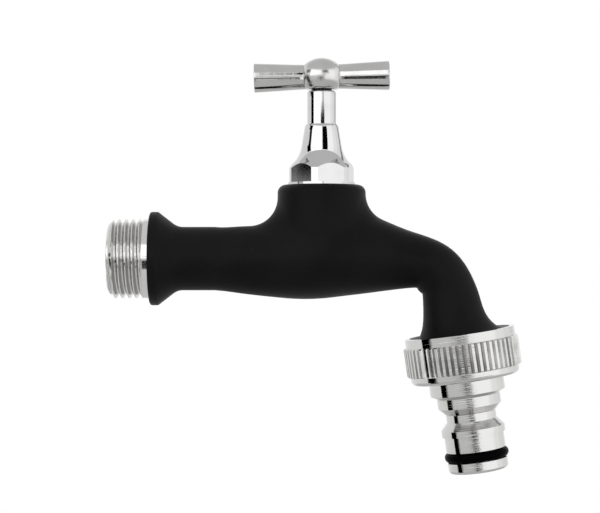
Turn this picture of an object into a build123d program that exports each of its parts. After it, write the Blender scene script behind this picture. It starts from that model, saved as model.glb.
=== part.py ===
from build123d import *
import math
import os

# Garden bib tap: a cast body with a wall thread, a screw-down valve with a T-bar handle,
# and a screwed-on hose connector with a plug-in nose. All sizes are in millimetres.
# Frame: origin where the inlet axis meets the wall flange's face, +X away from the wall, +Z up.
# The valve is drawn closed, with its washer on the seat.

os.makedirs("parts", exist_ok=True)

# Fits between pieces
thread_clearance = 0.06     # radial, between plain stand-ins for mating threads
running_clearance = 0.05    # radial, spindle and jumper stem in their bores
seal_clearance = 0.03       # radial, O-ring to the bore it seals
seat_clearance = 0.01       # radial, O-ring to the groove it sits in
pick_tolerance = 0.01       # for choosing edges by their size or place

# Inlet and wall flange
inlet_thread_d = 20.955     # G 1/2
inlet_length = 10.8
inlet_lead = 1.6            # lead-in chamfer, along the axis
inlet_lead_drop = 1.4       # lead-in chamfer, across the axis
inlet_bore_d = 12.0
inlet_bore_end = 25.0       # how far the straight bore reaches into the body
flange_d = 24.6
flange_rim = 2.1
flange_cone = 5.1           # length of the cone behind the rim
flange_edge_radius = 0.6
flange_foot_radius = 4.0
barrel_d = 16.7
barrel_end = 17.0           # where the round barrel starts to swell

# Cast body: floor and crown are heights below and above the inlet axis
spindle_x = 45.1            # reach from the wall to the spindle axis
start_back = 21.1           # sections behind the spindle, where the barrel swells
start_floor = 9.2
start_crown = 8.5
start_width = 17.3
swell_back = 14.0
swell_floor = 10.0
swell_crown = 8.9
swell_width = 19.2
rear_back = 7.1
rear_floor = 10.6
rear_crown = 10.4
rear_width = 22.6
chamber_floor = 10.5
chamber_crown = 12.0
chamber_width = 25.2
near_reach = 5.9            # sections in front of the spindle
near_floor = 9.85
near_crown = 12.4
near_width = 24.0
front_reach = 11.7
front_floor = 9.15
front_crown = 11.9
front_width = 20.8
slope_reach = 15.9
slope_floor = 8.6
slope_crown = 10.3
slope_width = 18.6
root_back = 4.0             # section just behind the spout's bend
root_floor = 8.1
root_crown = 8.6
root_width = 16.8
neck_d = 23.2
neck_top = 19.4
neck_edge_radius = 2.1
neck_blend_radius = 7.5

# Spout and outlet: stations run down the outlet axis from the connector's top plane
outlet_x = 81.3
outlet_z = -19.4
outlet_tilt = 8.2           # degrees from vertical, leaning away from the wall
bend_drop = 10.6            # bend pivot above the connector's top plane, along the axis
bend_reach = 10.9           # bend pivot to the outlet axis
bend_inner = 2.75           # bend pivot to the inside of the tube
entry_height = 14.8         # the tube where it enters the bend
entry_width = 15.2
bend_thinning = 1.0         # how much lower the tube is within the bend
bend_width = 14.0
exit_thinning = 0.3         # and where it leaves the bend
exit_width = 14.4
throat_up = 6.5
throat_shift = -0.8
throat_d = 15.6
flare_up = 3.9
flare_shift = -0.7
flare_d = 16.7
mouth_d = 21.2
mouth_depth = 1.6           # from the connector's top plane to the root of the outlet thread
mouth_end_d = 24.5
outlet_root_d = 25.0
outlet_thread_d = 26.441    # G 3/4
outlet_thread_start = 2.2
outlet_thread_length = 6.2
outlet_thread_lead = 0.8
outlet_bore_d = 13.0
outlet_bore_up = 1.5

# Waterways inside the body
seat_height = 2.5           # seat face above the inlet axis
seat_lip_height = 1.0
seat_lip_d = 11.0
seat_bore_d = 9.0
sump_depth = 8.0            # floor of the space under the seat, below the inlet axis
chamber_bore_d = 17.0
chamber_ceiling = 9.0
feed_bore_d = 6.8           # slanting way from the inlet bore to the space under the seat
feed_start = 21.0
feed_start_drop = 2.2
feed_end_drop = 5.2
spout_bore_d = 8.6
spout_bore_rise = 3.4       # centre of the spout's way above the seat, where it leaves the chamber
spout_bore_start = 3.7      # in front of the spindle axis
spout_corner_out = 8.1      # corner of the spout's way, from the bend pivot
spout_corner_up = 7.6
spout_bore_bend = 9.0

# Bonnet
bonnet_thread_d = 15.0
bonnet_skirt = 9.4
bonnet_lead = 0.7
bonnet_collar = 0.6
collar_overlap = 0.2        # radial, collar past the gasket
bonnet_hex = 15.8           # across flats
bonnet_hex_turn = 17.0      # degrees, how the flats face
bonnet_hex_corner_d = 17.3  # corners turned down to this
bonnet_hex_height = 4.8     # to the top of each flat
bonnet_hex_bevel = 1.1      # how much lower the corners end
tower_waist_d = 10.6
tower_waist_rise = 4.8
tower_curve_d = 12.3        # middle of the hollow curve from the hex to the waist
tower_curve_rise = 2.2
tower_top_d = 8.9
tower_height = 10.5         # above the hex
tower_edge = 0.6
chimney_d = 7.6
chimney_height = 8.75
chimney_chamfer = 0.35
gasket_width = 1.2          # radial, from the bonnet's thread to the gasket's seat
gasket_thickness = 1.0

# Valve
valve_lift = 5.0            # washer off the seat when fully open
washer_d = 12.2
washer_thickness = 3.5
plate_d = 12.4
plate_thickness = 2.0
plate_room = 0.3            # radial, plate to the recess in the bonnet's skirt
plate_headroom = 1.2        # above the plate when fully open
jumper_stem_d = 4.4
jumper_stem_length = 7.0
jumper_stem_room = 0.6
stud_d = 3.9
stud_length = 6.6
nut_flats = 7.0
nut_thickness = 2.4
spindle_thread_d = 9.0
spindle_thread_length = 13.0
spindle_back_gap = 1.0      # thread to the bonnet's shoulder when fully open
spindle_d = 5.4
spindle_square = 3.8
spindle_square_length = 4.7
spindle_chamfer = 0.4
ring_section = 1.0
ring_groove_width = 1.3
ring_low = 5.7              # lower O-ring above the bonnet's hex
ring_spacing = 3.0

# T-bar handle
handle_gap = 0.45           # hub above the chimney when the valve is closed
hub_d = 9.8                 # at its widest, level with the bar
hub_shoulder_d = 8.9        # where the bulging side meets the dome
hub_foot_d = 9.0
hub_height = 6.6
hub_dome = 1.7
hub_edge_radius = 0.5
bar_height = 3.35           # bar axis above the hub's foot
bar_length = 35.6
bar_root_d = 6.0
bar_end_d = 7.7
bar_edge_radius = 0.25
bar_lean = 1.2              # degrees, the cast bar's slight slope towards its front end
square_clearance = 0.06     # each side of the spindle's square in the hub
socket_end_room = 0.3
grub_screw_d = 3.0
grub_screw_length = 2.6
grub_screw_rise = 2.8       # screw axis above the hub's foot
grub_socket_flats = 1.5
grub_socket_depth = 1.2

# Hose connector, from its top plane down the outlet axis
grip_collar_d = 29.0
grip_collar = 2.4
knurl_d = 30.3
knurl_length = 7.7
knurl_count = 58
knurl_groove = 0.95         # width of a groove at the rim
knurl_depth = 0.62
knurl_chamfer = 0.3
lower_collar = 2.2
lower_collar_d = 28.6
lower_edge_radius = 1.1
connector_washer_thickness = 1.9
connector_washer_d = 26.0
connector_washer_bore_d = 15.0
shoulder_d = 19.8
shoulder_length = 3.6
shoulder_chamfer = 0.9
step_d = 16.7
step_length = 2.6
waist_taper = 1.8
waist_d = 13.2
waist_length = 2.0
latch_flare = 2.0
latch_d = 16.8
latch_length = 1.7
land_d = 15.7
land_length = 4.1
nose_ring_d = 16.9
nose_ring_section = 2.65
nose_groove_width = 2.8
tip_d = 15.8
tip_length = 2.8
tip_edge_radius = 0.9
nose_bore_d = 9.0

# Sizes that follow from the ones above
barrel_r = barrel_d / 2
trough_floor = seat_height - seat_lip_height
washer_top = seat_height + washer_thickness
plate_top = washer_top + plate_thickness
collar_top = neck_top + bonnet_collar
hex_top = collar_top + bonnet_hex_height
tower_top = hex_top + tower_height
chimney_top = tower_top + chimney_height
hub_foot = chimney_top + handle_gap
skirt_end = neck_top - bonnet_skirt
spindle_thread_top = plate_top + spindle_thread_length
bonnet_thread_top = spindle_thread_top + valve_lift + spindle_back_gap
recess_ceiling = plate_top + valve_lift + plate_headroom
neck_bore_r = bonnet_thread_d / 2 + thread_clearance
gasket_d = bonnet_thread_d + 2 * gasket_width
bonnet_collar_d = gasket_d + 2 * collar_overlap
bend_height = entry_height - bend_thinning
exit_height = entry_height - exit_thinning
spindle_bore_r = spindle_d / 2 + running_clearance

# Axes and working planes
spindle_axis = Axis((spindle_x, 0, 0), (0, 0, 1))
spindle_plane = Plane(origin=(spindle_x, 0, 0), x_dir=(1, 0, 0), z_dir=(0, -1, 0))
outlet_slope = math.radians(outlet_tilt)
outlet_down = Vector(math.sin(outlet_slope), 0, -math.cos(outlet_slope))
outlet_out = Vector(math.cos(outlet_slope), 0, math.sin(outlet_slope))
outlet_top = Vector(outlet_x, 0, outlet_z)
outlet_axis = Axis(outlet_top, outlet_down)
outlet_plane = Plane(origin=outlet_top, x_dir=outlet_out, z_dir=(0, 1, 0))
bend_pivot = outlet_top - outlet_down * bend_drop - outlet_out * bend_reach
outlet_thread_end = outlet_thread_start + outlet_thread_length
connector_seat = outlet_thread_end + connector_washer_thickness


def oval_between(low, high, width):
    """An oval section of the casting that stands on the line from low to high."""
    rise = high - low
    plane = Plane(origin=(low + high) / 2, x_dir=(0, 1, 0), z_dir=Vector(0, 1, 0).cross(rise))
    with BuildSketch(plane) as oval:
        # Every oval starts on its side, whether it is tall or wide, so that the loft doesn't twist
        with BuildLine():
            EllipticalCenterArc((0, 0), width / 2, rise.length / 2, arc_size=360)
        make_face()
    return oval.sketch


def upright_section(x, floor, crown, width):
    """A section square to the inlet axis."""
    return oval_between(Vector(x, 0, -floor), Vector(x, 0, crown), width)


def bend_section(angle, height, width):
    """A section that fans out from the bend's pivot at an angle above the horizontal."""
    ray = Vector(math.cos(math.radians(angle)), 0, math.sin(math.radians(angle)))
    return oval_between(bend_pivot + ray * bend_inner, bend_pivot + ray * (bend_inner + height), width)


def outlet_section(station, shift, diameter):
    """A round section square to the outlet axis."""
    centre = outlet_top + outlet_down * station + outlet_out * shift
    return oval_between(centre - outlet_out * diameter / 2, centre + outlet_out * diameter / 2, diameter)


# Body: one casting from the wall thread to the outlet thread
body_sections = [
    upright_section(barrel_end, barrel_r, barrel_r, barrel_d),
    upright_section(spindle_x - start_back, start_floor, start_crown, start_width),
    upright_section(spindle_x - swell_back, swell_floor, swell_crown, swell_width),
    upright_section(spindle_x - rear_back, rear_floor, rear_crown, rear_width),
    upright_section(spindle_x, chamber_floor, chamber_crown, chamber_width),
    upright_section(spindle_x + near_reach, near_floor, near_crown, near_width),
    upright_section(spindle_x + front_reach, front_floor, front_crown, front_width),
    upright_section(spindle_x + slope_reach, slope_floor, slope_crown, slope_width),
    upright_section(bend_pivot.X - root_back, root_floor, root_crown, root_width),
    bend_section(90, entry_height, entry_width),
    bend_section(60, bend_height, bend_width),
    bend_section(30, bend_height, bend_width),
    bend_section(outlet_tilt, exit_height, exit_width),
    outlet_section(-throat_up, throat_shift, throat_d),
    outlet_section(-flare_up, flare_shift, flare_d),
    outlet_section(0, 0, mouth_d),
    outlet_section(mouth_depth, 0, mouth_end_d),
]

with BuildPart() as body:
    loft(sections=body_sections)
    # Neck that takes the bonnet, blended into the casting all round
    with BuildSketch(spindle_plane):
        with BuildLine():
            RadiusArc(
                (neck_d / 2 - neck_edge_radius, neck_top),
                (neck_d / 2, neck_top - neck_edge_radius),
                neck_edge_radius,
            )
            Polyline(
                (neck_d / 2, neck_top - neck_edge_radius),
                (neck_d / 2, 0),
                (0, 0),
                (0, neck_top),
                (neck_d / 2 - neck_edge_radius, neck_top),
            )
        make_face()
    revolve(axis=spindle_axis)
    crease = body.edges(Select.NEW).filter_by(GeomType.CIRCLE, reverse=True)
    fillet(crease, neck_blend_radius)
    # Wall thread, flange and barrel
    with BuildSketch(Plane.XZ):
        with BuildLine():
            Polyline(
                (-inlet_length, 0),
                (-inlet_length, inlet_thread_d / 2 - inlet_lead_drop),
                (inlet_lead - inlet_length, inlet_thread_d / 2),
                (0, inlet_thread_d / 2),
                (0, flange_d / 2),
                (flange_rim, flange_d / 2),
                (flange_rim + flange_cone, barrel_r),
                (barrel_end, barrel_r),
                (barrel_end, 0),
                close=True,
            )
        make_face()
    revolve(axis=Axis.X)
    rings = body.edges().filter_by(GeomType.CIRCLE)
    fillet(rings.filter_by(lambda ring: abs(ring.radius - flange_d / 2) < pick_tolerance), flange_edge_radius)
    rings = body.edges().filter_by(GeomType.CIRCLE)
    foot_x = flange_rim + flange_cone
    flange_foot = rings.filter_by_position(Axis.X, foot_x - pick_tolerance, foot_x + pick_tolerance)
    fillet(flange_foot, flange_foot_radius)
    # Outlet thread
    with BuildSketch(outlet_plane):
        with BuildLine():
            Polyline(
                (0, mouth_depth),
                (outlet_root_d / 2, mouth_depth),
                (outlet_thread_d / 2, outlet_thread_start),
                (outlet_thread_d / 2, outlet_thread_end - outlet_thread_lead),
                (outlet_thread_d / 2 - outlet_thread_lead, outlet_thread_end),
                (0, outlet_thread_end),
                close=True,
            )
        make_face()
    revolve(axis=outlet_axis)
    # Inlet bore and the slanting way to the space under the seat
    with BuildSketch(Plane.YZ.offset(-inlet_length)):
        Circle(inlet_bore_d / 2)
    extrude(amount=inlet_length + inlet_bore_end, mode=Mode.SUBTRACT)
    with BuildLine() as feed_way:
        Line((feed_start, 0, -feed_start_drop), (spindle_x, 0, -feed_end_drop))
    with BuildSketch(Plane(feed_way.line @ 0, z_dir=feed_way.line % 0)):
        Circle(feed_bore_d / 2)
    sweep(path=feed_way.line, mode=Mode.SUBTRACT)
    # Space under the seat, the seat's lip, the chamber round it, the bonnet's bore and gasket seat
    with BuildSketch(spindle_plane):
        with BuildLine():
            Polyline(
                (0, -sump_depth),
                (seat_bore_d / 2, -sump_depth),
                (seat_bore_d / 2, seat_height),
                (seat_lip_d / 2, seat_height),
                (seat_lip_d / 2, trough_floor),
                (chamber_bore_d / 2, trough_floor),
                (chamber_bore_d / 2, chamber_ceiling),
                (neck_bore_r, chamber_ceiling + (chamber_bore_d / 2 - neck_bore_r)),
                (neck_bore_r, neck_top - gasket_thickness),
                (gasket_d / 2, neck_top - gasket_thickness),
                (gasket_d / 2, neck_top),
                (0, neck_top),
                close=True,
            )
        make_face()
    revolve(axis=spindle_axis, mode=Mode.SUBTRACT)
    # The spout's way, from the chamber round the bend to the outlet
    with BuildLine() as spout_way:
        FilletPolyline(
            (spindle_x + spout_bore_start, 0, seat_height + spout_bore_rise),
            (bend_pivot.X + spout_corner_out, 0, bend_pivot.Z + spout_corner_up),
            outlet_top + outlet_down * outlet_thread_start,
            radius=spout_bore_bend,
        )
    with BuildSketch(Plane(spout_way.line @ 0, z_dir=spout_way.line % 0)):
        Circle(spout_bore_d / 2)
    sweep(path=spout_way.line, mode=Mode.SUBTRACT)
    with BuildSketch(outlet_plane):
        with BuildLine():
            Polyline(
                (0, -outlet_bore_up),
                (outlet_bore_d / 2, -outlet_bore_up),
                (outlet_bore_d / 2, outlet_thread_end),
                (0, outlet_thread_end),
                close=True,
            )
        make_face()
    revolve(axis=outlet_axis, mode=Mode.SUBTRACT)
body.part.label = "body"
export_step(body.part, "parts/body.step")

# Bonnet: turned from hexagon bar, with a threaded skirt below and a slim chimney round the spindle
with BuildPart() as bonnet:
    with BuildSketch(Plane.XY.offset(collar_top)):
        with Locations((spindle_x, 0)):
            RegularPolygon(bonnet_hex / 2, 6, major_radius=False, rotation=bonnet_hex_turn)
    extrude(amount=bonnet_hex_height)
    # The corners are turned down and bevelled, which leaves each flat with an arched top
    with BuildSketch(spindle_plane):
        with BuildLine():
            Polyline(
                (0, collar_top),
                (bonnet_hex_corner_d / 2, collar_top),
                (bonnet_hex_corner_d / 2, hex_top - bonnet_hex_bevel),
                (bonnet_hex / 2, hex_top),
                (0, hex_top),
                close=True,
            )
        make_face()
    revolve(axis=spindle_axis, mode=Mode.INTERSECT)
    # Tower and chimney above the hex
    with BuildSketch(spindle_plane):
        with BuildLine():
            Line((0, hex_top), (bonnet_hex / 2, hex_top))
            ThreePointArc(
                (bonnet_hex / 2, hex_top),
                (tower_curve_d / 2, hex_top + tower_curve_rise),
                (tower_waist_d / 2, hex_top + tower_waist_rise),
            )
            Polyline(
                (tower_waist_d / 2, hex_top + tower_waist_rise),
                (tower_top_d / 2, tower_top - tower_edge),
                (tower_top_d / 2 - tower_edge / 2, tower_top),
                (chimney_d / 2, tower_top),
                (chimney_d / 2, chimney_top - chimney_chamfer),
                (chimney_d / 2 - chimney_chamfer, chimney_top),
                (0, chimney_top),
                (0, hex_top),
            )
        make_face()
    revolve(axis=spindle_axis)
    # Collar on the neck, and the threaded skirt inside it
    with BuildSketch(spindle_plane):
        with BuildLine():
            Polyline(
                (0, collar_top),
                (bonnet_collar_d / 2, collar_top),
                (bonnet_collar_d / 2, neck_top),
                (bonnet_thread_d / 2, neck_top),
                (bonnet_thread_d / 2, skirt_end + bonnet_lead),
                (bonnet_thread_d / 2 - bonnet_lead, skirt_end),
                (0, skirt_end),
                close=True,
            )
        make_face()
    revolve(axis=spindle_axis)
    # Recess for the jumper's plate, spindle thread and spindle bore
    with BuildSketch(spindle_plane):
        with BuildLine():
            Polyline(
                (0, skirt_end),
                (plate_d / 2 + plate_room, skirt_end),
                (plate_d / 2 + plate_room, recess_ceiling),
                (spindle_thread_d / 2 + thread_clearance, recess_ceiling),
                (spindle_thread_d / 2 + thread_clearance, bonnet_thread_top),
                (spindle_bore_r, bonnet_thread_top),
                (spindle_bore_r, chimney_top),
                (0, chimney_top),
                close=True,
            )
        make_face()
    revolve(axis=spindle_axis, mode=Mode.SUBTRACT)
bonnet.part.label = "bonnet"
export_step(bonnet.part, "parts/bonnet.step")

# Flat gasket under the bonnet's collar
with BuildPart() as bonnet_gasket:
    with BuildSketch(Plane.XY.offset(neck_top - gasket_thickness)):
        with Locations((spindle_x, 0)):
            Circle(gasket_d / 2 - seal_clearance)
            Circle(neck_bore_r, mode=Mode.SUBTRACT)
    extrude(amount=gasket_thickness)
bonnet_gasket.part.label = "bonnet_gasket"
export_step(bonnet_gasket.part, "parts/bonnet_gasket.step")

# Spindle: threaded foot bored for the jumper, plain shank with two O-ring grooves, squared top
ring_heights = [hex_top + ring_low, hex_top + ring_low + ring_spacing]
ring_outer_r = spindle_bore_r - seal_clearance
ring_groove_r = ring_outer_r - ring_section - seat_clearance

with BuildPart() as spindle:
    with BuildSketch(spindle_plane):
        with BuildLine():
            Polyline(
                (0, plate_top),
                (spindle_thread_d / 2 - spindle_chamfer, plate_top),
                (spindle_thread_d / 2, plate_top + spindle_chamfer),
                (spindle_thread_d / 2, spindle_thread_top - spindle_chamfer),
                (spindle_thread_d / 2 - spindle_chamfer, spindle_thread_top),
                (spindle_d / 2, spindle_thread_top),
                (spindle_d / 2, hub_foot),
                (0, hub_foot),
                close=True,
            )
        make_face()
    revolve(axis=spindle_axis)
    for ring_height in ring_heights:
        with BuildSketch(Plane.XY.offset(ring_height - ring_groove_width / 2)):
            with Locations((spindle_x, 0)):
                Circle(spindle_d / 2)
                Circle(ring_groove_r, mode=Mode.SUBTRACT)
        extrude(amount=ring_groove_width, mode=Mode.SUBTRACT)
    with BuildSketch(Plane.XY.offset(hub_foot)):
        with Locations((spindle_x, 0)):
            Rectangle(spindle_square, spindle_square)
    extrude(amount=spindle_square_length)
    chamfer(spindle.faces().sort_by(Axis.Z)[-1].edges(), spindle_chamfer)
    with BuildSketch(Plane.XY.offset(plate_top)):
        with Locations((spindle_x, 0)):
            Circle(jumper_stem_d / 2 + running_clearance)
    extrude(amount=jumper_stem_length + jumper_stem_room, mode=Mode.SUBTRACT)
spindle.part.label = "spindle"
export_step(spindle.part, "parts/spindle.step")

# Two O-rings that seal the spindle in the bonnet
for ring_height, ring_name in zip(ring_heights, ["spindle_o_ring_lower", "spindle_o_ring_upper"]):
    with BuildPart() as spindle_ring:
        with BuildSketch(spindle_plane):
            with Locations((ring_outer_r - ring_section / 2, ring_height)):
                Circle(ring_section / 2)
        revolve(axis=spindle_axis)
    spindle_ring.part.label = ring_name
    export_step(spindle_ring.part, f"parts/{ring_name}.step")

# Jumper: plate over the washer, a stem that turns in the spindle and a stud for the nut
with BuildPart() as jumper:
    with BuildSketch(spindle_plane):
        with BuildLine():
            Polyline(
                (0, washer_top - stud_length),
                (stud_d / 2, washer_top - stud_length),
                (stud_d / 2, washer_top),
                (plate_d / 2, washer_top),
                (plate_d / 2, plate_top),
                (jumper_stem_d / 2, plate_top),
                (jumper_stem_d / 2, plate_top + jumper_stem_length),
                (0, plate_top + jumper_stem_length),
                close=True,
            )
        make_face()
    revolve(axis=spindle_axis)
jumper.part.label = "jumper"
export_step(jumper.part, "parts/jumper.step")

# Tap washer that closes on the seat
with BuildPart() as tap_washer:
    with BuildSketch(Plane.XY.offset(seat_height)):
        with Locations((spindle_x, 0)):
            Circle(washer_d / 2)
            Circle(stud_d / 2 + running_clearance, mode=Mode.SUBTRACT)
    extrude(amount=washer_thickness)
tap_washer.part.label = "tap_washer"
export_step(tap_washer.part, "parts/tap_washer.step")

# Nut that holds the washer on the jumper
with BuildPart() as washer_nut:
    with BuildSketch(Plane.XY.offset(seat_height)):
        with Locations((spindle_x, 0)):
            RegularPolygon(nut_flats / 2, 6, major_radius=False)
            Circle(stud_d / 2 + thread_clearance, mode=Mode.SUBTRACT)
    extrude(amount=-nut_thickness)
washer_nut.part.label = "washer_nut"
export_step(washer_nut.part, "parts/washer_nut.step")

# Handle: domed hub and two tapered arms cast in one
bar_slope = math.radians(bar_lean)
bar_centre = (spindle_x, 0, hub_foot + bar_height)
bar_direction = (math.cos(bar_slope), 0, math.sin(bar_slope))
bar_plane = Plane(origin=bar_centre, x_dir=bar_direction, z_dir=(0, -1, 0))
grub_height = hub_foot + grub_screw_rise
grub_start = spindle_square / 2

with BuildPart() as handle:
    with BuildSketch(spindle_plane):
        with BuildLine():
            Polyline(
                (hub_foot_d / 2, hub_foot),
                (0, hub_foot),
                (0, hub_foot + hub_height + hub_dome),
            )
            RadiusArc(
                (0, hub_foot + hub_height + hub_dome),
                (hub_shoulder_d / 2, hub_foot + hub_height),
                (hub_dome**2 + (hub_shoulder_d / 2) ** 2) / (2 * hub_dome),
            )
            ThreePointArc(
                (hub_shoulder_d / 2, hub_foot + hub_height),
                (hub_d / 2, hub_foot + bar_height),
                (hub_foot_d / 2, hub_foot),
            )
        make_face()
    revolve(axis=spindle_axis)
    hub_edge = handle.edges().filter_by(GeomType.CIRCLE).group_by(Axis.Z)[0]
    fillet(hub_edge, hub_edge_radius)
    with BuildSketch(bar_plane):
        with BuildLine():
            Polyline(
                (-bar_length / 2, 0),
                (-bar_length / 2, bar_end_d / 2),
                (0, bar_root_d / 2),
                (bar_length / 2, bar_end_d / 2),
                (bar_length / 2, 0),
                close=True,
            )
        make_face()
    revolve(axis=Axis(bar_centre, bar_direction))
    bar_ends = handle.faces().sort_by(Axis.X)
    fillet(bar_ends[0].edges() + bar_ends[-1].edges(), bar_edge_radius)
    # Square socket for the spindle and the tapped hole at the back for the grub screw
    with BuildSketch(Plane.XY.offset(hub_foot)):
        with Locations((spindle_x, 0)):
            Rectangle(spindle_square + 2 * square_clearance, spindle_square + 2 * square_clearance)
    extrude(amount=spindle_square_length + socket_end_room, mode=Mode.SUBTRACT)
    with BuildSketch(Plane(origin=(spindle_x, 0, grub_height), x_dir=(1, 0, 0), z_dir=(0, 1, 0))):
        Circle(grub_screw_d / 2 + thread_clearance)
    extrude(amount=hub_d, mode=Mode.SUBTRACT)
handle.part.label = "handle"
export_step(handle.part, "parts/handle.step")

# Grub screw at the back of the hub, tight on the spindle's square
with BuildPart() as handle_grub_screw:
    with BuildSketch(Plane(origin=(spindle_x, grub_start, grub_height), x_dir=(1, 0, 0), z_dir=(0, 1, 0))):
        Circle(grub_screw_d / 2)
    extrude(amount=grub_screw_length)
    with BuildSketch(Plane(handle_grub_screw.faces().sort_by(Axis.Y)[-1])):
        RegularPolygon(grub_socket_flats / 2, 6, major_radius=False)
    extrude(amount=-grub_socket_depth, mode=Mode.SUBTRACT)
handle_grub_screw.part.label = "handle_grub_screw"
export_step(handle_grub_screw.part, "parts/handle_grub_screw.step")

# Hose connector: knurled nut and stepped plug-in nose turned from one bar
knurl_start = grip_collar
knurl_end = knurl_start + knurl_length
nut_end = knurl_end + lower_collar
shoulder_end = nut_end + shoulder_length
step_start = shoulder_end + shoulder_chamfer
step_end = step_start + step_length
waist_start = step_end + waist_taper
waist_end = waist_start + waist_length
latch_start = waist_end + latch_flare
latch_end = latch_start + latch_length
groove_start = latch_end + land_length
groove_end = groove_start + nose_groove_width
tip_end = groove_end + tip_length
nose_groove_d = nose_ring_d - 2 * (nose_ring_section + seat_clearance)
grip_collar_r = grip_collar_d / 2
knurl_r = knurl_d / 2
knurl_plane = Plane(origin=outlet_top + outlet_down * knurl_start, x_dir=outlet_out, z_dir=outlet_down)

with BuildPart() as hose_connector:
    with BuildSketch(knurl_plane):
        Circle(knurl_r)
        with PolarLocations(knurl_r, knurl_count):
            Polygon(
                (knurl_depth, knurl_groove),
                (-knurl_depth, 0),
                (knurl_depth, -knurl_groove),
                align=None,
                mode=Mode.SUBTRACT,
            )
    extrude(amount=knurl_length)
    # The ridges are bevelled at both ends of the band
    with BuildSketch(outlet_plane):
        with BuildLine():
            Polyline(
                (0, knurl_start),
                (knurl_r - knurl_chamfer, knurl_start),
                (knurl_r, knurl_start + knurl_chamfer),
                (knurl_r, knurl_end - knurl_chamfer),
                (knurl_r - knurl_chamfer, knurl_end),
                (0, knurl_end),
                close=True,
            )
        make_face()
    revolve(axis=outlet_axis, mode=Mode.INTERSECT)
    with BuildSketch(outlet_plane):
        with BuildLine():
            Polyline(
                (0, 0),
                (grip_collar_r, 0),
                (grip_collar_r, knurl_end),
                (lower_collar_d / 2, knurl_end),
                (lower_collar_d / 2, nut_end),
                (shoulder_d / 2, nut_end),
                (shoulder_d / 2, shoulder_end),
                (step_d / 2, step_start),
                (step_d / 2, step_end),
                (waist_d / 2, waist_start),
                (waist_d / 2, waist_end),
                (latch_d / 2, latch_start),
                (latch_d / 2, latch_end),
                (land_d / 2, latch_end),
                (land_d / 2, groove_start),
                (nose_groove_d / 2, groove_start),
                (nose_groove_d / 2, groove_end),
                (tip_d / 2, groove_end),
                (tip_d / 2, tip_end),
                (0, tip_end),
                close=True,
            )
        make_face()
    revolve(axis=outlet_axis)
    with BuildSketch(outlet_plane):
        with BuildLine():
            Polyline(
                (0, 0),
                (outlet_thread_d / 2 + thread_clearance, 0),
                (outlet_thread_d / 2 + thread_clearance, connector_seat),
                (nose_bore_d / 2, connector_seat),
                (nose_bore_d / 2, tip_end),
                (0, tip_end),
                close=True,
            )
        make_face()
    revolve(axis=outlet_axis, mode=Mode.SUBTRACT)
    turned_edges = hose_connector.edges().filter_by(GeomType.CIRCLE)
    collar_edges = turned_edges.filter_by(lambda edge: abs(edge.radius - lower_collar_d / 2) < pick_tolerance)
    fillet(collar_edges.sort_by(outlet_axis)[-1], lower_edge_radius)
    turned_edges = hose_connector.edges().filter_by(GeomType.CIRCLE)
    tip_edges = turned_edges.filter_by(lambda edge: abs(edge.radius - tip_d / 2) < pick_tolerance)
    fillet(tip_edges.sort_by(outlet_axis)[-1], tip_edge_radius)
hose_connector.part.label = "hose_connector"
export_step(hose_connector.part, "parts/hose_connector.step")

# Flat washer between the spout's end and the connector's seat
spout_end = outlet_top + outlet_down * outlet_thread_end

with BuildPart() as connector_washer:
    with BuildSketch(Plane(origin=spout_end, x_dir=outlet_out, z_dir=outlet_down)):
        Circle(connector_washer_d / 2)
        Circle(connector_washer_bore_d / 2, mode=Mode.SUBTRACT)
    extrude(amount=connector_washer_thickness)
connector_washer.part.label = "connector_washer"
export_step(connector_washer.part, "parts/connector_washer.step")

# O-ring on the nose, which seals in the hose's coupling
with BuildPart() as connector_o_ring:
    with BuildSketch(outlet_plane):
        with Locations(((nose_ring_d - nose_ring_section) / 2, (groove_start + groove_end) / 2)):
            Circle(nose_ring_section / 2)
    revolve(axis=outlet_axis)
connector_o_ring.part.label = "connector_o_ring"
export_step(connector_o_ring.part, "parts/connector_o_ring.step")
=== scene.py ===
import math

import bmesh
import bpy
from mathutils import Euler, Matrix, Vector


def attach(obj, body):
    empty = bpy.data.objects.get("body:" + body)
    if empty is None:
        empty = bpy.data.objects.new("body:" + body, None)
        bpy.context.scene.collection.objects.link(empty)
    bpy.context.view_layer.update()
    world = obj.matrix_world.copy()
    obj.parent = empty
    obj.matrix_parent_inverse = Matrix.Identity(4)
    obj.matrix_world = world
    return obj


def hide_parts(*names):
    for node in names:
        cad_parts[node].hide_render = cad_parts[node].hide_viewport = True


# Garden tap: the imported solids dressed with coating, plating, rubber and brass, with the wall thread cut.
# All lengths are in metres, in the frame of the solids: origin on the wall flange, +X off the wall, +Z up.

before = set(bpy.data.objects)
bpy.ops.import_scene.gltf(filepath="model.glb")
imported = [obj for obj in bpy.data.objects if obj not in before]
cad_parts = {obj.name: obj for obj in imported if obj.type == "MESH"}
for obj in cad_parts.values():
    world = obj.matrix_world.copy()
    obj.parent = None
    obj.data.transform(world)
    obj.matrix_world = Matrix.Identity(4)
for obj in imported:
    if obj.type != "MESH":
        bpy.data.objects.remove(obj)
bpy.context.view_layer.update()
scene = bpy.context.scene
MM = 0.001

# Sizes that follow the solids
spindle_x = 45.1 * MM
inlet_length = 10.8 * MM
inlet_bore_r = 6.0 * MM
inlet_bore_depth = 24 * MM
outlet_top = Vector((81.3 * MM, 0, -19.4 * MM))
outlet_tilt = math.radians(8.2)
outlet_turn = (0, outlet_tilt, 0)
outlet_down = Vector((math.sin(outlet_tilt), 0, -math.cos(outlet_tilt)))
knurl_start = 2.4 * MM
knurl_end = 10.1 * MM
hub_foot_z = 44.5 * MM
hub_shoulder_z = 51.1 * MM
hub_edge_radius = 0.5 * MM
hub_inner_r = 4.3 * MM
hub_outer_r = 4.95 * MM

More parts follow.
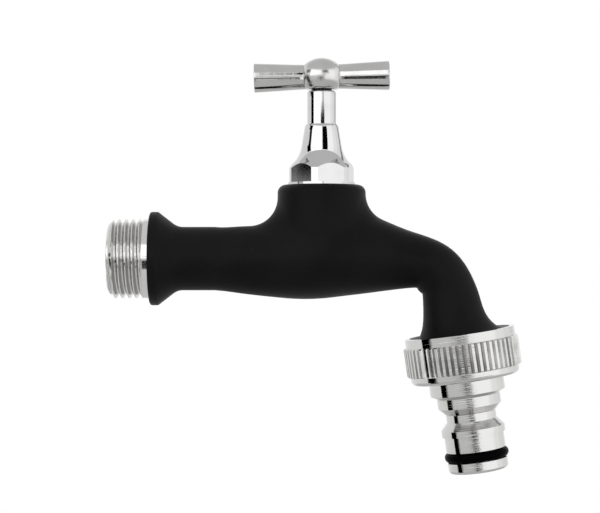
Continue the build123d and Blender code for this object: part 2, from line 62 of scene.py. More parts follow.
# The cut wall thread
thread_major_r = 20.955 / 2 * MM
thread_minor_r = 18.631 / 2 * MM
thread_pitch = 1.814 * MM
thread_lead = 1.6 * MM
thread_lead_drop = 1.4 * MM
thread_runout = 2.2 * MM
thread_start_turn = 0.25
thread_points_round = 193
thread_points_along = 133

# The ball that the handle's hub is drawn out to
ball_z = 47.9 * MM
ball_r = 5.8 * MM
ball_half_height = 5.0 * MM

# Distances that count as touching
merge_distance = 2e-6
seam_distance = 1e-6
cut_distance = 1e-7
hair = 0.01 * MM

# Studio
white = (1, 1, 1, 1)
world_light = 0.55
floor_level = -0.085
floor_reach = 3.0
floor_tone = (0.82, 0.82, 0.82, 1)
floor_glow = 0.205
sheet_distance = 2.4
sheet_spacing = 0.04
sheet_step = 5
lamp_place = Vector((0.03, -0.12, 0.55))
lamp_aim = Vector((0.045, 0, 0))
lamp_width = math.radians(44)
lamp_power = 1.4
camera_place = (39.4 * MM, -447.6 * MM, 0.55 * MM)
camera_lens = 102
camera_sensor = 36


# Small helpers for node trees

def add_node(tree, kind, **settings):
    """A new node with its plain settings."""
    node = tree.nodes.new(kind)
    for key, value in settings.items():
        setattr(node, key, value)
    return node


def feed(tree, socket, value):
    """Links a socket to a socket, or sets a plain value on it."""
    if isinstance(value, bpy.types.NodeSocket):
        tree.links.new(value, socket)
    else:
        socket.default_value = value


def calc(tree, operation, *values):
    """One Math node; works in shader and geometry trees."""
    node = add_node(tree, "ShaderNodeMath", operation=operation)
    for socket, value in zip(node.inputs, values):
        feed(tree, socket, value)
    return node.outputs[0]


def ramp_between(tree, value, low=0.0, high=1.0, start=0.0, end=1.0, smooth=False):
    """Maps value from low..high to start..end, clamped."""
    node = add_node(tree, "ShaderNodeMapRange", clamp=True)
    node.interpolation_type = "SMOOTHSTEP" if smooth else "LINEAR"
    feed(tree, node.inputs["Value"], value)
    feed(tree, node.inputs["From Min"], low)
    feed(tree, node.inputs["From Max"], high)
    feed(tree, node.inputs["To Min"], start)
    feed(tree, node.inputs["To Max"], end)
    return node.outputs["Result"]


def blend_colours(tree, mask, first, second):
    """A mix of two colours by a mask."""
    node = add_node(tree, "ShaderNodeMix", data_type="RGBA")
    feed(tree, node.inputs[0], mask)
    feed(tree, node.inputs[6], first)
    feed(tree, node.inputs[7], second)
    return node.outputs[2]


# Shared surface effects

def shader_group(name, inputs, outputs):
    """An empty shader node group with named sockets."""
    tree = bpy.data.node_groups.new(name, "ShaderNodeTree")
    for label, kind, default in inputs:
        socket = tree.interface.new_socket(label, in_out="INPUT", socket_type=kind)
        if default is not None:
            socket.default_value = default
    for label in outputs:
        tree.interface.new_socket(label, in_out="OUTPUT", socket_type="NodeSocketFloat")
    return tree, tree.nodes.new("NodeGroupInput"), tree.nodes.new("NodeGroupOutput")


def make_turning_lines():
    """Fine grooves round a turned piece: they change only along its axis."""
    tree, given, result = shader_group(
        "turning lines",
        [("Station", "NodeSocketFloat", 0.0), ("Line Width", "NodeSocketFloat", 0.0002)],
        ["Lines", "Bands"],
    )
    place = calc(tree, "DIVIDE", given.outputs["Station"], given.outputs["Line Width"])
    for label, scale, detail in (("Lines", 1.0, 3.0), ("Bands", 0.12, 1.0)):
        noise = add_node(tree, "ShaderNodeTexNoise", noise_dimensions="1D")
        feed(tree, noise.inputs["W"], place)
        noise.inputs["Scale"].default_value = scale
        noise.inputs["Detail"].default_value = detail
        tree.links.new(noise.outputs[0], result.inputs[label])
    return tree


def make_handling_marks():
    """Cloudy smudges and fine specks, as handled plating and coating have."""
    tree, given, result = shader_group(
        "handling marks",
        [("Place", "NodeSocketVector", None), ("Cloud Size", "NodeSocketFloat", 0.008),
         ("Speck Size", "NodeSocketFloat", 0.0006)],
        ["Clouds", "Specks"],
    )
    clouds = add_node(tree, "ShaderNodeTexNoise")
    tree.links.new(given.outputs["Place"], clouds.inputs["Vector"])
    feed(tree, clouds.inputs["Scale"], calc(tree, "DIVIDE", 1.0, given.outputs["Cloud Size"]))
    clouds.inputs["Detail"].default_value = 4.0
    specks = add_node(tree, "ShaderNodeTexNoise")
    tree.links.new(given.outputs["Place"], specks.inputs["Vector"])
    feed(tree, specks.inputs["Scale"], calc(tree, "DIVIDE", 1.0, given.outputs["Speck Size"]))
    specks.inputs["Detail"].default_value = 2.0
    soft_clouds = ramp_between(tree, clouds.outputs[0], low=0.3, high=0.7, smooth=True)
    sparse_specks = ramp_between(tree, specks.outputs[0], low=0.62, high=0.74)
    tree.links.new(soft_clouds, result.inputs["Clouds"])
    tree.links.new(sparse_specks, result.inputs["Specks"])
    return tree


def make_surface_grain():
    """An even fine grain for sprayed coating, cast metal and rubber."""
    tree, given, result = shader_group(
        "surface grain",
        [("Place", "NodeSocketVector", None), ("Grain Size", "NodeSocketFloat", 0.0005)],
        ["Grain"],
    )
    noise = add_node(tree, "ShaderNodeTexNoise")
    tree.links.new(given.outputs["Place"], noise.inputs["Vector"])
    feed(tree, noise.inputs["Scale"], calc(tree, "DIVIDE", 1.0, given.outputs["Grain Size"]))
    noise.inputs["Detail"].default_value = 3.0
    noise.inputs["Roughness"].default_value = 0.6
    tree.links.new(noise.outputs[0], result.inputs["Grain"])
    return tree


turning_lines = make_turning_lines()
handling_marks = make_handling_marks()
surface_grain = make_surface_grain()


def place_group(tree, group, **inputs):
    """An instance of a shared effect with its own values."""
    node = add_node(tree, "ShaderNodeGroup", node_tree=group)
    for key, value in inputs.items():
        feed(tree, node.inputs[key.replace("_", " ")], value)
    return node


def new_material(name):
    """A material with its tree, its Principled shader and the place on the object."""
    material = bpy.data.materials.new(name)
    material.use_nodes = True
    tree = material.node_tree
    shader = tree.nodes["Principled BSDF"]
    coordinates = add_node(tree, "ShaderNodeTexCoord")
    return material, tree, shader, coordinates.outputs["Object"]


def axis_station(tree, place, origin, turn):
    """Distance along a piece's own axis, for lines that run round it."""
    moved = add_node(tree, "ShaderNodeVectorMath", operation="SUBTRACT")
    feed(tree, moved.inputs[0], place)
    moved.inputs[1].default_value = origin
    mapped = add_node(tree, "ShaderNodeMapping", vector_type="POINT")
    tree.links.new(moved.outputs[0], mapped.inputs["Vector"])
    mapped.inputs["Rotation"].default_value = turn
    split = add_node(tree, "ShaderNodeSeparateXYZ")
    tree.links.new(mapped.outputs[0], split.inputs[0])
    return split.outputs["Z"]


def add_relief(tree, shader, height, depth, strength):
    """A bump of the given depth on the shader's normal."""
    bump = add_node(tree, "ShaderNodeBump")
    bump.inputs["Strength"].default_value = strength
    bump.inputs["Distance"].default_value = depth
    feed(tree, bump.inputs["Height"], height)
    tree.links.new(bump.outputs[0], shader.inputs["Normal"])


# Finishes

def make_black_coating():
    """Sprayed black coating on the casting: satin, with a fine even grain."""
    deep = (0.0042, 0.0042, 0.0045, 1)
    worn = (0.0068, 0.0068, 0.007, 1)
    dusty = (0.014, 0.014, 0.014, 1)
    dust_share = 0.25
    grain_share = 0.06
    material, tree, shader, place = new_material("black coating")
    marks = place_group(tree, handling_marks, Place=place, Cloud_Size=0.014, Speck_Size=0.0009)
    grain = place_group(tree, surface_grain, Place=place, Grain_Size=0.0007)
    tone = blend_colours(tree, marks.outputs["Clouds"], deep, worn)
    dust = calc(tree, "MULTIPLY", marks.outputs["Specks"], dust_share)
    feed(tree, shader.inputs["Base Color"], blend_colours(tree, dust, tone, dusty))
    rough = ramp_between(tree, marks.outputs["Clouds"], start=0.40, end=0.50)
    rough = calc(tree, "MULTIPLY_ADD", grain.outputs["Grain"], grain_share, rough)
    feed(tree, shader.inputs["Roughness"], rough)
    shader.inputs["Specular IOR Level"].default_value = 0.075
    add_relief(tree, shader, grain.outputs["Grain"], depth=0.00005, strength=0.25)
    return material


def thread_flanks(tree, place):
    """Where the painted shade goes on the wall thread: 1 halfway up its cut flanks, 0 on its crests and in
    its roots.
    """
    split = add_node(tree, "ShaderNodeSeparateXYZ")
    feed(tree, split.inputs[0], place)
    across = calc(tree, "POWER", split.outputs["Y"], 2.0)
    upward = calc(tree, "POWER", split.outputs["Z"], 2.0)
    radius = calc(tree, "SQRT", calc(tree, "ADD", across, upward))
    rise = ramp_between(tree, radius, low=thread_minor_r, high=thread_major_r, start=-1.0, end=1.0)
    return calc(tree, "SUBTRACT", 1.0, calc(tree, "POWER", calc(tree, "ABSOLUTE", rise), 3.0))


def make_plating(
    name, tint, shade, rough, line_width, line_depth, origin, turn, strength=0.2, painted_flank_shade=None,
):
    """Bright plating over turned metal: fine lines round the axis, smudges, and on a thread, flanks painted
    darker as painted shade.
    """
    dull_share = 0.8
    line_share = 0.5
    material, tree, shader, place = new_material(name)
    station = axis_station(tree, place, origin, turn)
    lines = place_group(tree, turning_lines, Station=station, Line_Width=line_width)
    marks = place_group(tree, handling_marks, Place=place, Cloud_Size=0.006, Speck_Size=0.0005)
    dull = calc(tree, "MULTIPLY", lines.outputs["Bands"], marks.outputs["Clouds"])
    tone = blend_colours(tree, dull, tint, shade)
    # Painted shade: a thread's flanks are painted darker than its crests and roots.
    if painted_flank_shade:
        tone = blend_colours(tree, thread_flanks(tree, place), tone, painted_flank_shade)
    feed(tree, shader.inputs["Base Color"], tone)
    shader.inputs["Metallic"].default_value = 1.0
    spread = calc(tree, "MULTIPLY_ADD", dull, rough * dull_share, rough)
    spread = calc(tree, "MULTIPLY_ADD", lines.outputs["Lines"], rough * line_share, spread)
    feed(tree, shader.inputs["Roughness"], spread)
    add_relief(tree, shader, lines.outputs["Lines"], line_depth, strength)
    return material


def make_handle_plating(name, smoothest, roughest):
    """Plating over the cast T-bar: the polish leaves fine ripples across the arms."""
    bright = (0.61, 0.605, 0.6, 1)
    smudged = (0.57, 0.565, 0.56, 1)
    material, tree, shader, place = new_material(name)
    stretch = add_node(tree, "ShaderNodeMapping", vector_type="POINT")
    feed(tree, stretch.inputs["Vector"], place)
    stretch.inputs["Scale"].default_value = (1.0, 0.25, 0.25)
    marks = place_group(tree, handling_marks, Place=place, Cloud_Size=0.004, Speck_Size=0.0007)
    grain = place_group(tree, surface_grain, Place=stretch.outputs[0], Grain_Size=0.0006)
    feed(tree, shader.inputs["Base Color"], blend_colours(tree, marks.outputs["Clouds"], bright, smudged))
    shader.inputs["Metallic"].default_value = 1.0
    rough = ramp_between(tree, marks.outputs["Clouds"], start=smoothest, end=roughest)
    feed(tree, shader.inputs["Roughness"], rough)
    add_relief(tree, shader, grain.outputs["Grain"], depth=0.00004, strength=0.4)
    return material


def make_rubber():
    """Moulded black rubber, slightly glossy."""
    deep = (0.0006, 0.0006, 0.0006, 1)
    dusty = (0.002, 0.002, 0.002, 1)
    material, tree, shader, place = new_material("black rubber")
    marks = place_group(tree, handling_marks, Place=place, Cloud_Size=0.004, Speck_Size=0.0004)
    grain = place_group(tree, surface_grain, Place=place, Grain_Size=0.0004)
    feed(tree, shader.inputs["Base Color"], blend_colours(tree, marks.outputs["Specks"], deep, dusty))
    rough = ramp_between(tree, marks.outputs["Clouds"], start=0.26, end=0.36)
    feed(tree, shader.inputs["Roughness"], rough)
    shader.inputs["Specular IOR Level"].default_value = 0.015
    add_relief(tree, shader, grain.outputs["Grain"], depth=0.00003, strength=0.15)
    return material


def make_brass(name, painted_shade_z=None):
    """Turned brass of the valve pieces and the inlet's bore; above the given height it is painted near black,
    as painted shade in the gap under the handle's hub.
    """
    bright = (0.68, 0.47, 0.19, 1)
    tarnished = (0.52, 0.34, 0.13, 1)
    # Near black: painted shade for the gap under the handle's hub.
    painted_gap_shade = (0.01, 0.009, 0.008, 1)
    painted_shade_edge = 0.3 * MM
    material, tree, shader, place = new_material(name)
    station = axis_station(tree, place, (spindle_x, 0, 0), (0, 0, 0))
    lines = place_group(tree, turning_lines, Station=station, Line_Width=0.00025)
    marks = place_group(tree, handling_marks, Place=place, Cloud_Size=0.005, Speck_Size=0.0006)
    tone = blend_colours(tree, marks.outputs["Clouds"], bright, tarnished)
    # Above the given height the brass is painted near black, as painted shade in the gap under the hub.
    if painted_shade_z:
        painted_shade_mask = ramp_between(tree, station, low=painted_shade_z - painted_shade_edge, high=painted_shade_z, smooth=True)
        tone = blend_colours(tree, painted_shade_mask, tone, painted_gap_shade)
    feed(tree, shader.inputs["Base Color"], tone)
    shader.inputs["Metallic"].default_value = 1.0
    rough = ramp_between(tree, lines.outputs["Lines"], low=0.3, high=0.7, start=0.2, end=0.34)
    feed(tree, shader.inputs["Roughness"], rough)
    add_relief(tree, shader, lines.outputs["Lines"], depth=0.00003, strength=0.2)
    return material


def make_steel():
    """Dull steel of the grub screw."""
    bright = (0.36, 0.36, 0.37, 1)
    dull = (0.26, 0.26, 0.27, 1)
    material, tree, shader, place = new_material("screw steel")
    marks = place_group(tree, handling_marks, Place=place, Cloud_Size=0.0015, Speck_Size=0.0003)
    feed(tree, shader.inputs["Base Color"], blend_colours(tree, marks.outputs["Clouds"], bright, dull))
    shader.inputs["Metallic"].default_value = 1.0
    rough = ramp_between(tree, marks.outputs["Specks"], start=0.28, end=0.4)
    feed(tree, shader.inputs["Roughness"], rough)
    return material


black_coating = make_black_coating()
chrome = make_plating(
    "bonnet chrome", tint=(0.61, 0.61, 0.61, 1), shade=(0.56, 0.56, 0.56, 1), rough=0.03,
    line_width=0.00035, line_depth=0.00001, origin=(spindle_x, 0, 0), turn=(0, 0, 0), strength=0.04)
connector_nickel = make_plating(
    "connector nickel", tint=(0.60, 0.597, 0.59, 1), shade=(0.54, 0.537, 0.53, 1), rough=0.04,
    line_width=0.0003, line_depth=0.00012, origin=outlet_top, turn=outlet_turn, strength=0.36)
# The knurl's grooves get a far darker tone than the rest of the plating: painted shade in the grooves.
knurl_nickel_painted_shade = make_plating(
    "nickel in the knurl, painted shade", tint=(0.6, 0.597, 0.59, 1), shade=(0.12, 0.119, 0.117, 1), rough=0.14,
    line_width=0.0006, line_depth=0.00002, origin=outlet_top, turn=outlet_turn)
bore_nickel = make_plating(
    "nickel in the bore", tint=(0.8, 0.797, 0.79, 1), shade=(0.7, 0.697, 0.69, 1), rough=0.5,
    line_width=0.0006, line_depth=0.00002, origin=outlet_top, turn=outlet_turn)
# The thread's flanks are painted darker than its crests and roots: painted shade.
thread_nickel = make_plating(
    "thread nickel", tint=(0.78, 0.775, 0.765, 1), shade=(0.62, 0.615, 0.605, 1), rough=0.08,
    line_width=0.0003, line_depth=0.00002, origin=(0, 0, 0), turn=(0, math.radians(-90), 0),
    painted_flank_shade=(0.52, 0.516, 0.508, 1))
arm_plating = make_handle_plating("arm plating", smoothest=0.08, roughest=0.13)
hub_plating = make_handle_plating("hub plating", smoothest=0.21, roughest=0.27)
rubber = make_rubber()
brass = make_brass("turned brass")
# The spindle is painted near black from a millimetre under the hub's foot up: painted shade in the gap under
# the hub.
brass_with_painted_shade = make_brass("brass with painted gap shade", painted_shade_z=hub_foot_z - 1.0 * MM)
steel = make_steel()


# Pieces

def smooth_copy(node_name, piece_name, materials, sharp_angle=28):
    """A merged copy of a solid's mesh with smooth faces and sharp edges, ready to be dressed."""
    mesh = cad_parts[node_name].data.copy()
    mesh.name = piece_name
    loaded_normals = mesh.attributes.get("custom_normal")
    if loaded_normals:
        mesh.attributes.remove(loaded_normals)
    work = bmesh.new()
    work.from_mesh(mesh)
    bmesh.ops.remove_doubles(work, verts=work.verts, dist=merge_distance)
    work.to_mesh(mesh)
    work.free()
    mesh.materials.clear()
    for material in materials:
        mesh.materials.append(material)
    shade_with_edges(mesh, sharp_angle)
    return add_object(piece_name, mesh)


def shade_with_edges(mesh, sharp_angle):
    """Smooth shading, with edges that stay sharp above an angle in degrees."""
    mesh.shade_smooth()
    mesh.set_sharp_from_angle(angle=math.radians(sharp_angle))


def add_object(name, data):
    """A new object in the scene, at the origin."""
    added = bpy.data.objects.new(name, data)
    scene.collection.objects.link(added)
    return added


def finish_piece(piece, body, slot, *nodes):
    """Hangs a piece on its body, in place of the solids it stands for."""
    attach(piece, body)
    if nodes:
        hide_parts(*nodes)


def radius_round_inlet(point):
    """Distance from the inlet's axis."""
    return math.hypot(point.y, point.z)


def make_casting():
    """The coated casting: its plain inlet is drawn in, to leave room for the cut thread round it."""
    cut_x = -0.3 * MM
    drawn_from_x = -0.2 * MM
    drawn_r = thread_minor_r - 0.5 * MM
    drawn_end_x = -inlet_length + 0.4 * MM
    bore_margin = 0.1 * MM
    near = 0.05 * MM
    piece = smooth_copy("body", "casting", [black_coating, brass])
    work = bmesh.new()
    work.from_mesh(piece.data)
    everything = work.verts[:] + work.edges[:] + work.faces[:]
    bmesh.ops.bisect_plane(
        work, geom=everything, plane_co=(cut_x, 0, 0), plane_no=(1, 0, 0), dist=cut_distance)
    for vert in work.verts:
        radius = radius_round_inlet(vert.co)
        if vert.co.x < drawn_from_x and radius > inlet_bore_r + bore_margin:
            shrink = min(1, drawn_r / radius)
            vert.co.y *= shrink
            vert.co.z *= shrink
        if vert.co.x < -inlet_length + near:
            vert.co.x = drawn_end_x
    for face in work.faces:
        middle = face.calc_center_median()
        if middle.x < inlet_bore_depth and radius_round_inlet(middle) < inlet_bore_r + near:
            face.material_index = 1
    work.to_mesh(piece.data)
    work.free()
    finish_piece(piece, "tap_body", "black_coating", "body")


def make_thread_tree():
    """Geometry nodes for a cut thread: a sheet wound round the axis, with crests that climb as they turn."""
    root_top = 0.1
    crest_foot = 0.86
    runout_slope = 0.35
    tree = bpy.data.node_groups.new("cut thread", "GeometryNodeTree")
    tree.interface.new_socket("Geometry", in_out="INPUT", socket_type="NodeSocketGeometry")
    for label in (
        "Major Radius", "Minor Radius", "Pitch", "Length", "Lead", "Lead Drop", "Runout", "Start Turn",
    ):
        tree.interface.new_socket(label, in_out="INPUT", socket_type="NodeSocketFloat")
    for label in ("Points Round", "Points Along"):
        tree.interface.new_socket(label, in_out="INPUT", socket_type="NodeSocketInt")
    tree.interface.new_socket("Finish", in_out="INPUT", socket_type="NodeSocketMaterial")
    tree.interface.new_socket("Geometry", in_out="OUTPUT", socket_type="NodeSocketGeometry")
    given = tree.nodes.new("NodeGroupInput").outputs
    result = tree.nodes.new("NodeGroupOutput")

    sheet = add_node(tree, "GeometryNodeMeshGrid")
    sheet.inputs["Size X"].default_value = 1.0
    sheet.inputs["Size Y"].default_value = 1.0
    tree.links.new(given["Points Round"], sheet.inputs["Vertices X"])
    tree.links.new(given["Points Along"], sheet.inputs["Vertices Y"])
    where = add_node(tree, "ShaderNodeSeparateXYZ")
    tree.links.new(add_node(tree, "GeometryNodeInputPosition").outputs[0], where.inputs[0])
    turn = calc(tree, "ADD", where.outputs["X"], 0.5)
    along = calc(tree, "MULTIPLY", calc(tree, "ADD", where.outputs["Y"], 0.5), given["Length"])

    # Each crest is a flat-topped ridge, once a pitch, and it moves along one pitch a turn
    climb = calc(tree, "SUBTRACT", calc(tree, "DIVIDE", along, given["Pitch"]), turn)
    phase = calc(tree, "FRACT", calc(tree, "ADD", climb, given["Start Turn"]))
    slope = calc(tree, "ABSOLUTE", calc(tree, "MULTIPLY_ADD", phase, 2.0, -1.0))
    ridge = calc(tree, "SUBTRACT", 1.0, slope)
    crest = ramp_between(tree, ridge, low=root_top, high=crest_foot)
    depth = calc(tree, "SUBTRACT", given["Major Radius"], given["Minor Radius"])
    cut = calc(tree, "MULTIPLY_ADD", crest, depth, given["Minor Radius"])

    # The lead-in cone at the open end, and the plain neck beside the flange
    cone_start = calc(tree, "SUBTRACT", given["Major Radius"], given["Lead Drop"])
    cone_slope = calc(tree, "DIVIDE", given["Lead Drop"], given["Lead"])
    cone = calc(tree, "MULTIPLY_ADD", along, cone_slope, cone_start)
    cut = calc(tree, "MINIMUM", cut, cone)
    neck_start = calc(tree, "SUBTRACT", given["Length"], given["Runout"])
    neck_full = calc(tree, "MULTIPLY_ADD", given["Runout"], runout_slope, neck_start)
    neck = ramp_between(tree, along, low=neck_start, high=neck_full, smooth=True)
    reach = calc(tree, "MULTIPLY_ADD", calc(tree, "SUBTRACT", given["Major Radius"], cut), neck, cut)

    angle = calc(tree, "MULTIPLY", turn, math.tau)
    placed = add_node(tree, "ShaderNodeCombineXYZ")
    tree.links.new(calc(tree, "SUBTRACT", along, given["Length"]), placed.inputs["X"])
    tree.links.new(calc(tree, "MULTIPLY", reach, calc(tree, "COSINE", angle)), placed.inputs["Y"])
    tree.links.new(calc(tree, "MULTIPLY", reach, calc(tree, "SINE", angle)), placed.inputs["Z"])
    wound = add_node(tree, "GeometryNodeSetPosition")
    tree.links.new(sheet.outputs["Mesh"], wound.inputs["Geometry"])
    tree.links.new(placed.outputs[0], wound.inputs["Position"])
    closed = add_node(tree, "GeometryNodeMergeByDistance")
    tree.links.new(wound.outputs[0], closed.inputs["Geometry"])
    closed.inputs["Distance"].default_value = seam_distance
    realized = add_node(tree, "GeometryNodeRealizeInstances")
    tree.links.new(closed.outputs[0], realized.inputs[0])
    finished = add_node(tree, "GeometryNodeSetMaterial")
    tree.links.new(realized.outputs[0], finished.inputs["Geometry"])
    tree.links.new(given["Finish"], finished.inputs["Material"])
    tree.links.new(finished.outputs[0], result.inputs[0])
    return tree


def run_tree(tree, name, settings):
    """Runs a geometry tree with its named inputs set, and gives back the plain mesh."""
    holder = add_object(name, bpy.data.meshes.new(name))
    modifier = holder.modifiers.new("shape", "NODES")
    modifier.node_group = tree
    sockets = {item.name: item.identifier for item in tree.interface.items_tree if item.in_out == "INPUT"}
    for label, value in settings.items():
        modifier[sockets[label]] = value
    shaped = holder.evaluated_get(bpy.context.evaluated_depsgraph_get())
    mesh = bpy.data.meshes.new_from_object(shaped)
    bpy.data.objects.remove(holder)
    mesh.name = name
    return mesh


def angle_round_inlet(vert):
    """Angle of a mesh point round the inlet's axis."""
    return math.atan2(vert.co.z, vert.co.y)


def make_wall_thread():
    """The cut wall thread: the wound sheet, closed inwards to the bore so that it is a whole sleeve."""
    mesh = run_tree(make_thread_tree(), "wall_thread", {
        "Major Radius": thread_major_r, "Minor Radius": thread_minor_r, "Pitch": thread_pitch,
        "Length": inlet_length, "Lead": thread_lead, "Lead Drop": thread_lead_drop,
        "Runout": thread_runout, "Start Turn": thread_start_turn,
        "Points Round": thread_points_round, "Points Along": thread_points_along, "Finish": thread_nickel,
    })
    inner_profile = (
        (-inlet_length, inlet_bore_r),
        (-inlet_length + 0.5 * MM, inlet_bore_r),
        (-inlet_length + 0.6 * MM, thread_minor_r - 1.5 * MM),
        (-0.4 * MM, thread_minor_r - 1.0 * MM),
    )
    work = bmesh.new()
    work.from_mesh(mesh)
    open_verts = {vert for edge in work.edges if edge.is_boundary for vert in edge.verts}
    open_end = [vert for vert in open_verts if vert.co.x <= -inlet_length / 2]
    wall_end = [vert for vert in open_verts if vert.co.x > -inlet_length / 2]
    rings = [sorted(open_end, key=angle_round_inlet)]
    angles = [angle_round_inlet(vert) for vert in rings[0]]
    for x, radius in inner_profile:
        rings.append([
            work.verts.new((x, radius * math.cos(angle), radius * math.sin(angle))) for angle in angles
        ])
    rings.append(sorted(wall_end, key=angle_round_inlet))
    count = len(angles)
    for near, far in zip(rings, rings[1:]):
        for i in range(count):
            j = (i + 1) % count
            work.faces.new((near[i], near[j], far[j], far[i]))
    bmesh.ops.recalc_face_normals(work, faces=work.faces)
    work.to_mesh(mesh)
    work.free()
    shade_with_edges(mesh, sharp_angle=50)
    finish_piece(add_object("wall_thread", mesh), "tap_body", "nickel_plate")


def make_connector():
    """The turned connector; its plating is rougher in the knurl's grooves and painted darker there as painted
    shade, and dull in the bore.
    """
    groove_lean = 0.3
    groove_facing = 0.85
    bore_facing = -0.5
    piece = smooth_copy("hose_connector", "connector_turned", [connector_nickel, knurl_nickel_painted_shade, bore_nickel])
    for face in piece.data.polygons:
        reach = face.center - outlet_top
        station = reach.dot(outlet_down)
        outward = (reach - outlet_down * station).normalized()
        facing = face.normal.dot(outward)
        # Groove faces of the knurl take the plating with painted shade.
        is_groove = abs(face.normal.dot(outlet_down)) < groove_lean and facing < groove_facing
        if facing < bore_facing:
            face.material_index = 2
        elif knurl_start < station < knurl_end and is_groove:
            face.material_index = 1
    finish_piece(piece, "tap_body", "nickel_plate", "hose_connector")


def radius_round_spindle(point):
    """Distance from the spindle's axis."""
    return math.hypot(point.x - spindle_x, point.y)


def on_hub_side(point):
    """Whether a point lies on the upright side of the handle's hub."""
    return hub_foot_z - hair < point.z < hub_shoulder_z and (
        hub_inner_r - hub_edge_radius < radius_round_spindle(point) < hub_outer_r)


def touches_arm(vert):
    """Whether a face at this point reaches out past the hub."""
    neighbours = [other for face in vert.link_faces for other in face.verts]
    return any(radius_round_spindle(other.co) > hub_outer_r for other in neighbours)


def ball_radius(z):
    """The ball's radius at a height."""
    return ball_r * math.sqrt(1 - ((z - ball_z) / ball_half_height) ** 2)


def make_handle():
    """The cast T-bar, with the hub's side drawn out to the ball that its arms grow from."""
    edge_top = hub_foot_z + hub_edge_radius
    edge_r = hub_inner_r + hub_edge_radius / 2
    piece = smooth_copy("handle", "handle_cast", [arm_plating, hub_plating])
    work = bmesh.new()
    work.from_mesh(piece.data)
    side_edges = [edge for edge in work.edges if all(on_hub_side(vert.co) for vert in edge.verts)]
    bmesh.ops.subdivide_edges(work, edges=side_edges, cuts=1)
    bmesh.ops.triangulate(work, faces=work.faces)
    side = [vert for vert in work.verts if on_hub_side(vert.co)]
    # Where the side meets the arms, its points slide along the arms and stay on them
    seam = {vert for vert in side if touches_arm(vert)}
    for vert in side:
        across, forward = vert.co.x - spindle_x, vert.co.y
        target_r = ball_radius(vert.co.z)
        if vert in seam:
            vert.co.x = spindle_x + math.copysign(math.sqrt(target_r**2 - forward**2), across)
            continue
        grow = target_r / (edge_r if vert.co.z < edge_top else radius_round_spindle(vert.co))
        vert.co.x = spindle_x + across * grow
        vert.co.y = forward * grow
    for face in work.faces:
        if radius_round_spindle(face.calc_center_median()) < ball_r:
            face.material_index = 1
    work.to_mesh(piece.data)
    work.free()
    shade_with_edges(piece.data, sharp_angle=48)
    finish_piece(piece, "spindle_group", "handle_plate", "handle")


make_casting()
make_wall_thread()
make_connector()
make_handle()
finish_piece(
    smooth_copy("bonnet", "bonnet_chrome", [chrome], sharp_angle=18), "tap_body", "chrome_plate", "bonnet")
finish_piece(
    smooth_copy("connector_o_ring", "nose_ring", [rubber]), "tap_body", "rubber", "connector_o_ring")

for node_name, material in (
    ("bonnet_gasket", rubber),
    ("spindle", brass_with_painted_shade),
    ("spindle_o_ring_lower", rubber),
    ("spindle_o_ring_upper", rubber),
    ("jumper", brass),
    ("tap_washer", rubber),
    ("washer_nut", brass),
    ("handle_grub_screw", steel),
    ("connector_washer", rubber),
):
    node_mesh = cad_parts[node_name].data
    node_mesh.materials.clear()
    node_mesh.materials.append(material)


# Studio: white surroundings, a pale floor, a soft lamp, and what the bright metal reflects

def seen_directly(tree):
    """1 for the rays that show the background: from the camera, in metal and through glass."""
    path = add_node(tree, "ShaderNodeLightPath")
    shown = calc(tree, "MAXIMUM", path.outputs["Is Camera Ray"], path.outputs["Is Glossy Ray"])
    return calc(tree, "MAXIMUM", shown, path.outputs["Is Transmission Ray"])


def make_surroundings():
    """A world that shows white and lights the tap at a plain level."""
    world = bpy.data.worlds.new("white surroundings")
    world.use_nodes = True
    scene.world = world
    tree = world.node_tree
    tree.nodes.clear()
    mixed = add_node(tree, "ShaderNodeMixShader")
    tree.links.new(seen_directly(tree), mixed.inputs[0])
    for socket, strength in ((mixed.inputs[1], world_light), (mixed.inputs[2], 1.0)):
        background = add_node(tree, "ShaderNodeBackground")
        background.inputs["Color"].default_value = white
        background.inputs["Strength"].default_value = strength
        tree.links.new(background.outputs[0], socket)
    output = add_node(tree, "ShaderNodeOutputWorld")
    tree.links.new(mixed.outputs[0], output.inputs[0])


def stage_material(name):
    """A material with an empty tree and its output's surface socket."""
    material = bpy.data.materials.new(name)
    material.use_nodes = True
    tree = material.node_tree
    tree.nodes.clear()
    return material, tree, add_node(tree, "ShaderNodeOutputMaterial").inputs["Surface"]


def add_glow(tree, strength):
    """A white emission."""
    glow = add_node(tree, "ShaderNodeEmission")
    glow.inputs["Color"].default_value = white
    feed(tree, glow.inputs["Strength"], strength)
    return glow.outputs[0]


def stage_sheet(name, points, faces, material):
    """A sheet that isn't part of the tap."""
    mesh = bpy.data.meshes.new(name)
    mesh.from_pydata(points, [], faces)
    mesh.materials.append(material)
    sheet = add_object(name, mesh)
    return sheet


def make_floor():
    """Pale paper under the tap. Its tone and its glow add up to white, and the shadow shows below that."""
    material, tree, surface = stage_material("pale floor")
    paper = add_node(tree, "ShaderNodeBsdfDiffuse")
    paper.inputs["Color"].default_value = floor_tone
    both = add_node(tree, "ShaderNodeAddShader")
    tree.links.new(paper.outputs[0], both.inputs[0])
    glow = add_glow(tree, calc(tree, "MULTIPLY", seen_directly(tree), floor_glow))
    tree.links.new(glow, both.inputs[1])
    tree.links.new(both.outputs[0], surface)
    corners = [
        (across * floor_reach, along * floor_reach, floor_level)
        for across, along in ((-1, -1), (1, -1), (1, 1), (-1, 1))
    ]
    floor = stage_sheet("floor", corners, [(0, 1, 2, 3)], material)
    floor.visible_glossy = False


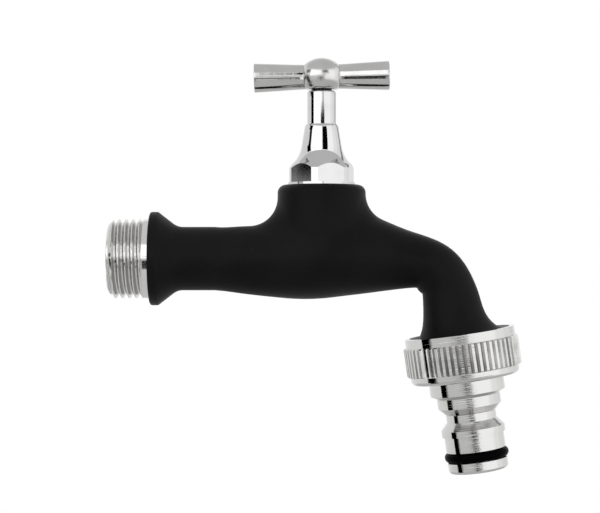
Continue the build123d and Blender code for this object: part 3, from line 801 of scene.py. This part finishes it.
def curved_sheet(name, bearings, heights, distance, material):
    """Part of a wide sphere round the tap, between two bearings from the camera's side and two heights."""
    columns = max(1, math.ceil((bearings[1] - bearings[0]) / sheet_step))
    rows = max(1, math.ceil((heights[1] - heights[0]) / sheet_step))
    points, faces = [], []
    for row in range(rows + 1):
        height = math.radians(heights[0] + (heights[1] - heights[0]) * row / rows)
        reach = distance * math.cos(height)
        for column in range(columns + 1):
            bearing = math.radians(bearings[0] + (bearings[1] - bearings[0]) * column / columns)
            x = spindle_x + reach * math.sin(bearing)
            points.append((x, -reach * math.cos(bearing), distance * math.sin(height)))
    for row in range(rows):
        for column in range(columns):
            corner = row * (columns + 1) + column
            faces.append((corner, corner + 1, corner + columns + 2, corner + columns + 1))
    return stage_sheet(name, points, faces, material)


def make_reflections():
    """What the bright metal sees of the studio: panels, a grey ceiling and ground, and dark flags.

    Each has its bearings and heights in degrees and its brightness. Later ones are nearer.
    """
    for place, (name, bearings, heights, strength) in enumerate((
        ("ceiling", (-180, 180), (40, 90), 0.70),
        ("ground", (-180, 180), (-90, -22), 0.66),
        ("panel_left", (-66, 0.8), (2, 40), 1.75),
        ("panel_right", (7, 74), (-22, 40), 1.42),
        ("side_right", (74, 98), (-22, 40), 1.22),
        ("far_right", (98, 120), (-22, 40), 1.1),
        ("chimney_line", (9, 15), (5.9, 14), 0.55),
        ("flag_left_low", (-92, -68), (-40, 0.5), 0.0),
        ("flag_left", (-92, -68), (3.1, 8), 0.0),
        ("flag_left_high", (-92, -68), (19, 36), 0.0),
        ("hex_sheen", (-89, -83), (2.6, 3.3), 0.2),
        ("hex_streak", (-86.2, -86.02), (2.6, 5), 0.45),
        ("shade_left", (-66, -26), (-22, 1.5), 0.8),
        ("shade_far", (-26, -14), (-22, 1.5), 0.66),
        ("shade_near", (-14, -5), (-22, -1.5), 0.5),
        ("shade_front", (-5, 6), (-13, -3), 0.28),
        ("flag_front", (6, 12), (-22, -2.3), 0.08),
        ("flag_arm", (-9, 0.6), (-30, -6), 0.0),
        ("flag_wedge", (-8, 22), (4.3, 6.22), 0.0),
        ("wedge_tip", (2, 17), (6.22, 6.45), 0.25),
        ("flag_tower", (5, 36), (19, 38), 0.0),
        ("flag_back", (128, 140), (4, 40), 0.3),
    )):
        material, tree, surface = stage_material(f"{name} glow")
        tree.links.new(add_glow(tree, strength), surface)
        distance = sheet_distance - sheet_spacing * place
        sheet = curved_sheet(name, bearings, heights, distance, material)
        sheet.visible_camera = False
        sheet.visible_diffuse = False
        sheet.visible_shadow = False
        sheet.visible_transmission = False


def make_lamp():
    """A wide soft lamp far off, which lights the tap and all of the floor alike."""
    data = bpy.data.lights.new("lamp_above", "SUN")
    data.angle = lamp_width
    data.energy = lamp_power
    lamp = add_object("lamp_above", data)
    lamp.location = lamp_place
    lamp.rotation_euler = (lamp_aim - lamp_place).to_track_quat("-Z", "Y").to_euler()
    lamp.visible_glossy = False


def make_camera():
    """A long lens at the tap's height, straight at its side."""
    data = bpy.data.cameras.new("camera")
    data.sensor_width = camera_sensor
    data.lens = camera_lens
    camera = add_object("camera", data)
    camera.location = camera_place
    camera.rotation_euler = Euler((math.radians(90), 0, 0))
    scene.camera = camera


make_surroundings()
make_floor()
make_reflections()
make_lamp()
make_camera()
scene.view_settings.view_transform = "Standard"
